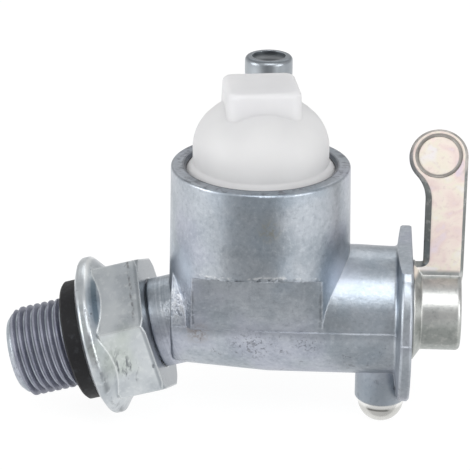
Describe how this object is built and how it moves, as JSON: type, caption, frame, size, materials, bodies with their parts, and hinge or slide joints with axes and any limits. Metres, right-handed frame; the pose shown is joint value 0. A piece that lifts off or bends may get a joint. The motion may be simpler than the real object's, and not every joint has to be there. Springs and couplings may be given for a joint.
{
  "type": "fuel tap",
  "caption": "Fuel tap with a screwed sediment bowl, inclined threaded inlet with flange nut and washer, quarter-turn lever and rear hose outlet.",
  "frame": {"origin": "on the inlet thread's axis, half way along the thread that is free beyond the washer", "axes": "+Z along the cup's axis towards the sediment bowl, as pictured; +X along the valve's axis towards the lever; -Y towards the picture's viewer"},
  "size_m": [0.0901, 0.0492, 0.07],
  "materials": {
    "plated_casting": "blue-grey plated die casting, satin, lightly pitted",
    "bright_zinc": "bright zinc plating with a faint yellow-green tinge",
    "black_rubber": "matt black rubber",
    "milky_plastic": "milky translucent moulded plastic",
    "lever_chromate": "warm iridescent chromate over a cast lever",
    "dark_zinc": "dark zinc-plated tube",
    "bright_nickel": "bright plated screw head",
    "filter_plastic": "moulded plastic cage",
    "gauze": "fine woven gauze",
    "seal_rubber": "nitrile rubber",
    "spring_steel": "spring steel"
  },
  "bodies": {
    "tap_body": {"valve_body": "plated_casting", "outlet_nipple": "dark_zinc", "passage_plug": "bright_zinc", "retaining_screw": "bright_nickel", "valve_sleeve": "seal_rubber", "spindle_spring_washer": "spring_steel", "filter_cage": "filter_plastic", "filter_gauze": "gauze"},
    "lever": {"lever": "lever_chromate", "inner_spindle_seal": "seal_rubber", "outer_spindle_seal": "seal_rubber"},
    "washer": {"inlet_washer": "black_rubber"},
    "nut": {"flange_nut": "bright_zinc"},
    "bowl_seal": {"bowl_seal": "seal_rubber"},
    "bowl": {"sediment_bowl": "milky_plastic"}
  },
  "joints": [
    {"name": "lever_turn", "type": "hinge", "parent": "tap_body", "child": "lever", "pos_m": [0.04244, 0, 0.01043], "axis": [1, 0, 0], "range_deg": [0, 90]},
    {"name": "washer_slide", "type": "slide", "parent": "tap_body", "child": "washer", "axis": [-0.965, 0, -0.2622], "range_m": [0, 0.006]},
    {"name": "nut_turn", "type": "hinge", "parent": "washer", "child": "nut", "pos_m": [0, 0, 0], "axis": [-0.965, 0, -0.2622], "range_deg": [0, 1440]},
    {"name": "seal_lift", "type": "slide", "parent": "tap_body", "child": "bowl_seal", "axis": [0, 0, 1], "range_m": [0, 0.006]},
    {"name": "bowl_turn", "type": "hinge", "parent": "bowl_seal", "child": "bowl", "pos_m": [0.04244, 0, 0.03043], "axis": [0, 0, 1], "range_deg": [0, 1440]}
  ],
  "couplings": [
    {"joint": "nut_turn", "follows": "washer_slide", "rad_per_m": 4188.8},
    {"joint": "bowl_turn", "follows": "seal_lift", "rad_per_m": 4188.8}
  ]
}
